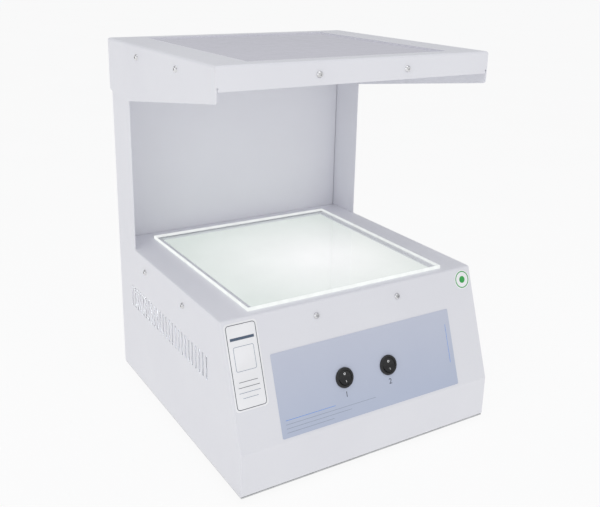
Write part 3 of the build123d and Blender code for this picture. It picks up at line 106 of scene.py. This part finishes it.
# Materials
class Paint:
    """A material under construction, with short ways to add its nodes."""

    def __init__(self, name):
        self.mat = bpy.data.materials.new(name)
        self.mat.use_nodes = True
        self.tree = self.mat.node_tree
        self.tree.nodes.clear()
        self.out = self.add("ShaderNodeOutputMaterial")
        self.space = self.add("ShaderNodeTexCoord").outputs["Object"]

    def add(self, kind, **values):
        """One node; keys that are socket names set sockets, others set properties."""
        node = self.tree.nodes.new(kind)
        for key, value in values.items():
            if key in node.inputs:
                node.inputs[key].default_value = value
            else:
                setattr(node, key, value)
        return node

    def link(self, a, b):
        """Joins an output to an input."""
        self.tree.links.new(a, b)

    def noise(self, scale, detail=3.0):
        """Noise in object space, 0 to 1."""
        node = self.add("ShaderNodeTexNoise", Scale=scale, Detail=detail)
        self.link(self.space, node.inputs["Vector"])
        return node.outputs["Fac"]

    def span(self, value, low, high, to_low=0.0, to_high=1.0):
        """Value mapped from one range to another."""
        node = self.add("ShaderNodeMapRange")
        node.inputs["From Min"].default_value = low
        node.inputs["From Max"].default_value = high
        node.inputs["To Min"].default_value = to_low
        node.inputs["To Max"].default_value = to_high
        self.link(value, node.inputs["Value"])
        return node.outputs["Result"]

    def vary(self, scale, low, high, detail=3.0):
        """Noise spread between two values."""
        return self.span(self.noise(scale, detail), NOISE_LOW, NOISE_HIGH, low, high)

    def mottle(self, scale, detail=5.0, top=1.0):
        """Soft patches from 0 to a top value."""
        return self.span(self.noise(scale, detail), MOTTLE_LOW, MOTTLE_HIGH, 0.0, top)

    def axes(self, source):
        """The X, Y and Z outputs of a vector."""
        node = self.add("ShaderNodeSeparateXYZ")
        self.link(source, node.inputs[0])
        return node.outputs

    def math(self, kind, a, b):
        """Two values, or a value and a number, combined."""
        node = self.add("ShaderNodeMath", operation=kind)
        self.link(a, node.inputs[0])
        if isinstance(b, (int, float)):
            node.inputs[1].default_value = b
        else:
            self.link(b, node.inputs[1])
        return node.outputs[0]

    def mix(self, factor, a, b):
        """Colour mix of two colours or outputs."""
        node = self.add("ShaderNodeMix", data_type="RGBA")
        self.link(factor, node.inputs["Factor"])
        for value, socket in ((a, node.inputs["A"]), (b, node.inputs["B"])):
            if isinstance(value, tuple):
                socket.default_value = value
            else:
                self.link(value, socket)
        return node.outputs["Result"]

    def entering_rim(self, ior):
        """Mirror share of a thin sheet, for rays that meet it from outside only."""
        rim = self.add("ShaderNodeFresnel", IOR=ior)
        inside = self.add("ShaderNodeNewGeometry").outputs["Backfacing"]
        return self.math("MULTIPLY", rim.outputs[0], self.span(inside, 0.0, 1.0, 1.0, 0.0))

    def bump(self, height, strength, distance):
        """Normal from a height."""
        node = self.add("ShaderNodeBump", Strength=strength, Distance=distance)
        self.link(height, node.inputs["Height"])
        return node.outputs["Normal"]

    def body(self, color, rough=None, normal=None, **values):
        """Principled shader with a linked colour and, where given, roughness and normal."""
        node = self.add("ShaderNodeBsdfPrincipled", **values)
        for value, socket in ((color, "Base Color"), (rough, "Roughness"), (normal, "Normal")):
            if value is not None:
                self.link(value, node.inputs[socket])
        self.show(node.outputs[0])
        return node.outputs[0]

    def blend(self, factor, first, second):
        """Two shaders mixed by a number or by an output."""
        node = self.add("ShaderNodeMixShader")
        if isinstance(factor, float):
            node.inputs["Fac"].default_value = factor
        else:
            self.link(factor, node.inputs["Fac"])
        self.link(first, node.inputs[1])
        self.link(second, node.inputs[2])
        return node.outputs[0]

    def show(self, shader):
        """Joins a shader to the surface."""
        self.link(shader, self.out.inputs["Surface"])


def powder_coat():
    """White powder coat: orange peel, faint clouding and a few specks."""
    p = Paint("powder coat")
    cells = p.add("ShaderNodeTexVoronoi", Scale=34.0)
    p.link(p.space, cells.inputs["Vector"])
    split = p.add("ShaderNodeSeparateColor")
    p.link(cells.outputs["Color"], split.inputs[0])
    near = p.math("LESS_THAN", cells.outputs["Distance"], 0.017)
    rare = p.math("GREATER_THAN", split.outputs[0], 0.80)
    speck = p.math("MULTIPLY", p.math("MULTIPLY", near, rare), 0.5)
    cloud = p.vary(9.0, 0.0, 1.0, detail=4.0)
    base = p.mix(cloud, (0.800, 0.802, 0.845, 1), (0.825, 0.828, 0.866, 1))
    peel = p.bump(p.noise(1100.0, 2.0), 0.12, 0.0002)
    p.body(p.mix(speck, base, (0.22, 0.22, 0.24, 1)), p.vary(60.0, 0.30, 0.40), peel)
    return p.mat


def sheen_metal(name, color, rough, grain, depth):
    """Bare metal with fine, uneven gloss."""
    p = Paint(name)
    dull = tuple(v * 0.82 for v in color[:3]) + (1.0,)
    p.body(
        p.mix(p.mottle(grain * 0.2), dull, color),
        p.vary(grain, rough * 0.8, rough * 1.3),
        p.bump(p.noise(grain * 2.0), depth, 0.0001),
        Metallic=1.0,
    )
    return p.mat


def moulded(name, color, rough, grain=900.0, depth=0.10):
    """Moulded plastic, rubber or enamel with a fine texture."""
    p = Paint(name)
    dark = tuple(v * 0.86 for v in color[:3]) + (1.0,)
    p.body(
        p.mix(p.mottle(40.0, 4.0), dark, color),
        p.vary(120.0, rough * 0.85, rough * 1.2),
        p.bump(p.noise(grain), depth, 0.0001),
    )
    return p.mat


def glass(name, tint):
    """Thin glass that lets light straight through, with a slight surface film."""
    p = Paint(name)
    through = p.add("ShaderNodeBsdfTransparent", Color=tint)
    shine = p.add("ShaderNodeBsdfGlossy", Roughness=0.05)
    smear = p.span(p.noise(35.0, 5.0), 0.4, 0.7, 0.0, 0.03)
    share = p.math("ADD", p.entering_rim(GLASS_IOR), smear)
    p.show(p.blend(share, through.outputs[0], shine.outputs[0]))
    return p.mat


def test_plate_glass():
    """Clear plate whose cut edges pipe the light from below."""
    p = Paint("test plate")
    lean = p.axes(p.add("ShaderNodeNewGeometry").outputs["True Normal"])["Z"]
    above = p.math("GREATER_THAN", lean, LEVEL_COSINE)
    below = p.math("LESS_THAN", lean, -LEVEL_COSINE)
    through = p.add("ShaderNodeBsdfTransparent", Color=(0.985, 0.99, 0.988, 1))
    shine = p.add("ShaderNodeBsdfGlossy", Roughness=0.04)
    smear = p.span(p.noise(28.0, 6.0), 0.45, 0.75, 0.0, 0.02)
    share = p.math("ADD", p.entering_rim(PLATE_IOR), smear)
    glow = p.add("ShaderNodeEmission", Color=(0.97, 1.0, 0.99, 1))
    p.link(p.vary(90.0, 0.92, 1.02), glow.inputs["Strength"])
    sheet = p.blend(share, through.outputs[0], shine.outputs[0])
    p.show(p.blend(p.math("MAXIMUM", above, below), glow.outputs[0], sheet))
    return p.mat


def lit_sheet():
    """Polariser sheet lit from below, brightest a little off its middle."""
    p = Paint("lit sheet")
    low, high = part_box("polariser_sheet")
    shift = p.add("ShaderNodeVectorMath", operation="SUBTRACT")
    p.link(p.space, shift.inputs[0])
    shift.inputs[1].default_value = (
        (low[0] + high[0]) / 2 + HOT_SPOT_SHIFT,
        (low[1] + high[1]) / 2 - HOT_SPOT_SHIFT,
        high[2],
    )
    reach = p.add("ShaderNodeVectorMath", operation="LENGTH")
    p.link(shift.outputs[0], reach.inputs[0])
    fall = p.span(reach.outputs["Value"], HOT_SPOT_CORE, HOT_SPOT_REACH, 1.0, 0.0)
    glow = p.add("ShaderNodeEmission")
    p.link(p.mix(fall, (0.80, 0.87, 0.83, 1), (1.0, 1.0, 1.0, 1)), glow.inputs["Color"])
    power = p.span(p.math("ADD", fall, p.noise(12.0)), 0.3, 1.6, 0.93, 1.10)
    p.link(power, glow.inputs["Strength"])
    shine = p.add("ShaderNodeBsdfGlossy", Roughness=0.12)
    p.show(p.blend(0.04, glow.outputs[0], shine.outputs[0]))
    return p.mat


def lamp_glow(name, color, strength):
    """Glass that shines evenly, with a little unevenness along it."""
    p = Paint(name)
    glow = p.add("ShaderNodeEmission", Color=color)
    p.link(p.vary(60.0, strength * 0.9, strength * 1.1), glow.inputs["Strength"])
    p.show(glow.outputs[0])
    return p.mat


def analyser():
    """Pale grey-lavender polarising sheet, glossy on both sides."""
    p = Paint("analyser")
    surface = p.body(
        p.mix(p.mottle(14.0), (0.66, 0.65, 0.73, 1), (0.68, 0.67, 0.75, 1)),
        p.vary(80.0, 0.20, 0.26),
        p.bump(p.noise(500.0), 0.05, 0.0001),
    )
    through = p.add("ShaderNodeBsdfTransparent", Color=(0.62, 0.61, 0.66, 1))
    p.show(p.blend(0.03, surface, through.outputs[0]))
    return p.mat


def printed(name, color, rough):
    """Printed film with a faint mottle."""
    p = Paint(name)
    pale = tuple(min(1.0, v * 1.06 + 0.004) for v in color[:3]) + (1.0,)
    p.body(
        p.mix(p.mottle(25.0), color, pale),
        p.vary(200.0, rough * 0.9, rough * 1.1),
        p.bump(p.noise(1500.0), 0.04, 0.0001),
    )
    return p.mat


def face_film():
    """Blue-grey label film, paler towards its top."""
    p = Paint("face film")
    low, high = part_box("fascia_label")
    rise = p.span(p.axes(p.space)["Z"], low[2], high[2])
    graded = p.mix(rise, srgb(186, 195, 216), srgb(199, 204, 220))
    p.body(
        p.mix(p.mottle(20.0, top=0.12), graded, (0.62, 0.66, 0.76, 1)),
        p.vary(150.0, 0.36, 0.46),
        p.bump(p.noise(1600.0), 0.05, 0.0001),
    )
    return p.mat


def laminated():
    """Black varnished stack of thin laminations."""
    p = Paint("laminations")
    wave = p.add("ShaderNodeTexWave", Scale=320.0, bands_direction="X")
    p.link(p.space, wave.inputs["Vector"])
    stripes = p.mix(wave.outputs["Fac"], (0.015, 0.015, 0.017, 1), (0.06, 0.06, 0.065, 1))
    p.body(stripes, normal=p.bump(wave.outputs["Fac"], 0.3, 0.0002), Metallic=0.3, Roughness=0.45)
    return p.mat


coat = powder_coat()
steel = sheen_metal("bright steel", (0.78, 0.78, 0.79, 1), 0.16, 260.0, 0.05)
zinc = sheen_metal("zinc plate", (0.62, 0.63, 0.64, 1), 0.34, 320.0, 0.10)
nickel = sheen_metal("nickel", (0.75, 0.73, 0.68, 1), 0.24, 400.0, 0.06)
brass = sheen_metal("brass", (0.78, 0.60, 0.28, 1), 0.26, 300.0, 0.08)
can = sheen_metal("aluminium can", (0.72, 0.72, 0.73, 1), 0.30, 350.0, 0.06)
switch_black = moulded("switch black", (0.012, 0.012, 0.013, 1), 0.30, 700.0, 0.06)
inlet_black = moulded("inlet black", (0.020, 0.020, 0.021, 1), 0.45)
rubber = moulded("rubber", (0.025, 0.025, 0.026, 1), 0.75, 600.0, 0.2)
enamel = moulded("white enamel", (0.86, 0.86, 0.86, 1), 0.25, 300.0, 0.04)
white_plastic = moulded("white thermoset", (0.80, 0.80, 0.77, 1), 0.40)
winding = moulded("winding tape", (0.45, 0.26, 0.09, 1), 0.55, 500.0, 0.3)
case = moulded("gear case", (0.66, 0.67, 0.69, 1), 0.40)
nylon = moulded("nylon", (0.78, 0.74, 0.64, 1), 0.45)
clear = glass("clear glass", (0.98, 0.99, 0.985, 1))
white_vinyl = printed("white vinyl", (0.90, 0.90, 0.915, 1), 0.35)
looks = {
    "left_side_panel": coat,
    "right_side_panel": coat,
    "front_deck_panel": coat,
    "rear_panel": coat,
    "hood_cover": coat,
    "analyser_frame": coat,
    "sheet_frame": coat,
    "bottom_plate": zinc,
    "analyser_sheet": analyser(),
    "polariser_sheet": lit_sheet(),
    "diffuser_plate": enamel,
    "test_plate": test_plate_glass(),
    "fascia_label": face_film(),
    "side_sticker": white_vinyl,
    "round_sticker": white_vinyl,
    "front_left_foot": rubber,
    "front_right_foot": rubber,
    "rear_left_foot": rubber,
    "rear_right_foot": rubber,
    "left_switch_body": switch_black,
    "left_switch_rocker": switch_black,
    "left_switch_terminals": nickel,
    "right_switch_body": switch_black,
    "right_switch_rocker": switch_black,
    "right_switch_terminals": nickel,
    "mains_inlet": inlet_black,
    "mains_inlet_pins": nickel,
    "fuse_drawer": inlet_black,
    "fuse": clear,
    "mains_inlet_screws": steel,
    "mains_inlet_nuts": zinc,
    "lamp_tray": enamel,
    "sodium_lamp_jacket": clear,
    "sodium_lamp_arc_tube": glass("arc tube", (0.97, 0.96, 0.92, 1)),
    "sodium_lamp_cap": brass,
    "sodium_lamp_holder": white_plastic,
    "sodium_lamp_clip": steel,
    "cfl_tubes": lamp_glow("lit tubes", (0.95, 1.0, 0.98, 1), 24.0),
    "cfl_base": white_plastic,
    "cfl_holder": white_plastic,
    "cfl_clip": steel,
    "sodium_ballast_core": laminated(),
    "sodium_ballast_coil": winding,
    "cfl_ballast": case,
    "ignitor": case,
    "capacitor": can,
    "capacitor_clamp": zinc,
    "terminal_block": nylon,
    "base_studs": zinc,
    "base_nuts": zinc,
    "sheet_frame_screws": steel,
    "sheet_frame_nuts": zinc,
    "hood_screws": steel,
    "hood_nuts": zinc,
    "foot_screws": steel,
    "foot_nuts": zinc,
    "bottom_plate_screws": steel,
}
for name, look in looks.items():
    mesh = nodes[name].data
    mesh.materials.clear()
    mesh.materials.append(look)


# Printed marks on the labels and rockers
def rounded(cx, cy, width, height, radius):
    """Outline of a rounded rectangle."""
    points = []
    for turn, (sx, sy) in enumerate(((1, 1), (-1, 1), (-1, -1), (1, -1))):
        for step in range(CORNER_STEPS + 1):
            angle = math.radians(90 * turn + 90 * step / CORNER_STEPS)
            points.append((
                cx + sx * (width / 2 - radius) + radius * math.cos(angle),
                cy + sy * (height / 2 - radius) + radius * math.sin(angle),
            ))
    return points


def disc(cx, cy, radius, count):
    """Outline of a circle."""
    return [
        (
            cx + radius * math.cos(math.radians(360.0 * i / count)),
            cy + radius * math.sin(math.radians(360.0 * i / count)),
        )
        for i in range(count)
    ]


def film(name, look, body, slot, place, outer, inner=None, low=0.0, high=INK_HEIGHT):
    """Thin printed layer from an outline, or from the band between two outlines."""
    count = len(outer)
    rings = [outer] if inner is None else [outer, inner]
    verts = [place(x, y, z) for z in (low, high) for ring in rings for x, y in ring]
    layer = count * len(rings)
    faces = []
    if inner is None:
        faces.append(tuple(range(layer, layer + count)))
        faces.append(tuple(reversed(range(count))))
    for i in range(count):
        j = (i + 1) % count
        faces.append((i, j, layer + j, layer + i))
        if inner is not None:
            faces.append((layer + i, layer + j, layer + count + j, layer + count + i))
            faces.append((j, i, count + i, count + j))
            faces.append((count + j, count + i, layer + count + i, layer + count + j))
    mesh = bpy.data.meshes.new(name)
    mesh.from_pydata([tuple(v) for v in verts], [], faces)
    mesh.materials.append(look)
    piece = bpy.data.objects.new(name, mesh)
    scene.collection.objects.link(piece)
    soft = piece.modifiers.new("edge", "BEVEL")
    soft.width = INK_EDGE * MM
    soft.segments = 1
    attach(piece, body)


def on_cabinet(name, look, slot, face, *outlines):
    """Printed layer on one of the slope's faces."""
    film(name, look, "cabinet", slot, face.at, *outlines)


ink = printed("dark ink", (0.035, 0.045, 0.065, 1), 0.4)
slate_ink = printed("slate ink", (0.075, 0.11, 0.17, 1), 0.4)
pale_ink = printed("pale slate ink", (0.25, 0.30, 0.38, 1), 0.4)
blue_ink = printed("blue ink", (0.02, 0.24, 0.78, 1), 0.4)
green_ink = printed("green ink", (0.03, 0.38, 0.07, 1), 0.4)
white_ink = printed("white ink", (0.88, 0.88, 0.88, 1), 0.4)

# Side sticker: a dark outline, a bar, an empty box and ruled lines
sticker = Face("side_sticker")
width = sticker.width / MM
height = sticker.height / MM
on_cabinet("sticker_outline", ink, "side_sticker", sticker,
           rounded(0, 0, width - 3.5, height - 3.6, 3.6),
           rounded(0, 0, width - 4.9, height - 5.0, 2.9))
on_cabinet("sticker_bar", slate_ink, "side_sticker", sticker, rounded(0, 29.0, 28.0, 3.0, 0.2))
on_cabinet("sticker_box", pale_ink, "side_sticker", sticker,
           rounded(0, 8.0, 24.0, 26.0, 2.0), rounded(0, 8.0, 23.0, 25.0, 1.6))
STICKER_FIRST_LINE = -16.0
STICKER_LINE_PITCH = 5.6
for row, length in enumerate((22.0, 25.0, 25.0, 18.0)):
    lift = STICKER_FIRST_LINE - STICKER_LINE_PITCH * row
    on_cabinet("sticker_line", ink if row < 2 else pale_ink, "side_sticker", sticker,
               rounded(0, lift, length, 0.55, 0.2))

# Round sticker: a green ring round a plain green disc
spot = Face("round_sticker")
on_cabinet("ring", green_ink, "round_sticker", spot, disc(0, 0, 10.3, 56), disc(0, 0, 9.1, 56))
on_cabinet("spot", green_ink, "round_sticker", spot, disc(0, 0, 4.2, 40))

# Face label: an edge line, ruled lines and one number under each switch
LABEL_SIDE_MARGIN = 6.0
LABEL_FIRST_LINE = 18.5
LABEL_LINE_PITCH = 4.4
NUMBER_DROP = 19.0
NUMBER_HEIGHT = 6.5
FONT_SIZE_PER_HEIGHT = 1.35
label = Face("fascia_label")
left = -label.width / MM / 2
low = -label.height / MM / 2
on_cabinet("edge_line", blue_ink, "fascia_label", label, rounded(-left - 7.0, 5.0, 0.45, 46.0, 0.1))
for row, length in enumerate((64.0, 118.0, 84.0, 60.0)):
    lift = low + LABEL_FIRST_LINE - LABEL_LINE_PITCH * row
    on_cabinet("ruled_line", blue_ink if row == 0 else pale_ink, "fascia_label", label,
               rounded(left + LABEL_SIDE_MARGIN + length / 2, lift, length, 0.40, 0.1))


def number(text, x, y, height):
    """A plain printed number on the face label, about as high as given, in mm."""
    curve = bpy.data.curves.new("number_" + text, "FONT")
    curve.body = text
    curve.size = height * MM * FONT_SIZE_PER_HEIGHT
    curve.extrude = 0.02 * MM
    curve.align_x = "CENTER"
    curve.align_y = "CENTER"
    holder = bpy.data.objects.new("number_" + text, curve)
    scene.collection.objects.link(holder)
    bpy.context.view_layer.update()
    graph = bpy.context.evaluated_depsgraph_get()
    mesh = bpy.data.meshes.new_from_object(holder.evaluated_get(graph))
    bpy.data.objects.remove(holder)
    turn = Matrix((ACROSS, UP, OUT)).transposed().to_4x4()
    mesh.transform(Matrix.Translation(label.at(x, y, 0.03)) @ turn)
    mesh.materials.clear()
    mesh.materials.append(ink)
    piece = bpy.data.objects.new("number_" + text, mesh)
    scene.collection.objects.link(piece)
    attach(piece, "cabinet")


# Rocker marks: a ring on the pressed end, a bar on the raised end
NUMBERS = {"left": "1", "right": "2"}
for joint in frame["joints"]:
    if not joint["name"].endswith("_rocker_tilt"):
        continue
    side = joint["name"].split("_")[0]
    tilt = math.radians(joint["range_deg"][1] / 2)
    pivot = Vector(joint["pos_m"])
    crest = pivot + (UP * math.sin(tilt) + OUT * math.cos(tilt)) * (CROWN * MM)
    slant = UP * -math.cos(2 * tilt) + OUT * math.sin(2 * tilt)
    rise = ACROSS.cross(slant) * -1

    def pressed(x, y, z, crest=crest):
        """A point on the rocker's pressed face."""
        return crest + (ACROSS * x + UP * y + OUT * z) * MM

    def raised(x, y, z, crest=crest, slant=slant, rise=rise):
        """A point on the rocker's raised face."""
        return crest + (ACROSS * -x + slant * y + rise * z) * MM

    film("round_mark", white_ink, joint["child"], "black_switch_plastic", pressed,
         disc(0, 4.1, 1.35, 28), disc(0, 4.1, 0.75, 28), low=-0.02, high=0.04)
    film("bar_mark", white_ink, joint["child"], "black_switch_plastic", raised,
         rounded(0, 4.4, 0.55, 2.4, 0.15), low=-0.02, high=0.04)
    switch = Face(side + "_switch_body").middle - label.middle
    number(NUMBERS[side], switch.dot(ACROSS) / MM, switch.dot(UP) / MM - NUMBER_DROP, NUMBER_HEIGHT)

# Camera, fitted to the photograph: its place, its three directions, its lens and its shift
CAMERA_PLACE = Vector((-0.4970, -0.8084, 0.5443))
RIGHTWARD = Vector((0.85886, -0.51191, 0.01724))
DOWNWARD = Vector((-0.1395, -0.26618, -0.95378))
FORWARD = Vector((0.49284, 0.81676, -0.30002))
camera_data = bpy.data.cameras.new("camera")
camera_data.sensor_width = 36.0
camera_data.lens = 48.125
camera_data.shift_x = 0.0163
camera_data.shift_y = -0.0668
camera_data.clip_start = 0.01
camera = bpy.data.objects.new("camera", camera_data)
basis = Matrix((RIGHTWARD, -DOWNWARD, -FORWARD)).transposed().to_4x4()
camera.matrix_world = Matrix.Translation(CAMERA_PLACE) @ basis
scene.collection.objects.link(camera)
scene.camera = camera

# Floor, nearly shadowless as in the photograph
FLOOR_REACH = 60
SHADOW_SHARE = 0.10
floor_paint = Paint("pale floor")
wash = floor_paint.add("ShaderNodeEmission", Color=(1, 1, 1, 1))
floor_paint.link(floor_paint.vary(3.0, 0.995, 1.0), wash.inputs["Strength"])
matte = floor_paint.add("ShaderNodeBsdfDiffuse", Color=(0.9, 0.9, 0.9, 1))
floor_paint.show(floor_paint.blend(SHADOW_SHARE, wash.outputs[0], matte.outputs[0]))
corners = [(x * FLOOR_REACH, y * FLOOR_REACH, 0) for x, y in ((-1, -1), (1, -1), (1, 1), (-1, 1))]
sweep = bpy.data.meshes.new("floor")
sweep.from_pydata(corners, [], [(0, 1, 2, 3)])
sweep.materials.append(floor_paint.mat)
floor = bpy.data.objects.new("floor", sweep)
scene.collection.objects.link(floor)

# Lights: a pale room that the camera sees as a white page, and three soft boxes
scene.view_settings.view_transform = "Standard"
world = bpy.data.worlds.new("studio")
scene.world = world
world.use_nodes = True
tree = world.node_tree
tree.nodes.clear()
sky_out = tree.nodes.new("ShaderNodeOutputWorld")
choose = tree.nodes.new("ShaderNodeMixShader")
paths = tree.nodes.new("ShaderNodeLightPath")
tree.links.new(paths.outputs["Is Camera Ray"], choose.inputs["Fac"])
for socket, color, strength in ((1, (0.96, 0.97, 1.0, 1), 0.56), (2, (1, 1, 1, 1), 1.0)):
    light = tree.nodes.new("ShaderNodeBackground")
    light.inputs["Color"].default_value = color
    light.inputs["Strength"].default_value = strength
    tree.links.new(light.outputs[0], choose.inputs[socket])
tree.links.new(choose.outputs[0], sky_out.inputs["Surface"])
AIM = Vector((0, 0, 0.2))


def softbox(name, place, width, height, watts, color=(1, 1, 1)):
    """A rectangular light turned to the object."""
    data = bpy.data.lights.new(name, "AREA")
    data.shape = "RECTANGLE"
    data.size = width
    data.size_y = height
    data.energy = watts
    data.color = color
    lamp = bpy.data.objects.new(name, data)
    lamp.location = place
    lamp.rotation_euler = (AIM - Vector(place)).to_track_quat("-Z", "Y").to_euler()
    lamp.visible_camera = False
    scene.collection.objects.link(lamp)


softbox("overhead", (-0.2, -0.3, 2.0), 1.6, 1.6, 7.0)
softbox("left", (-2.0, -0.7, 0.9), 1.4, 1.4, 5.5, (0.97, 0.97, 1.0))
softbox("front", (0.3, -2.2, 1.1), 1.4, 1.2, 5.0)
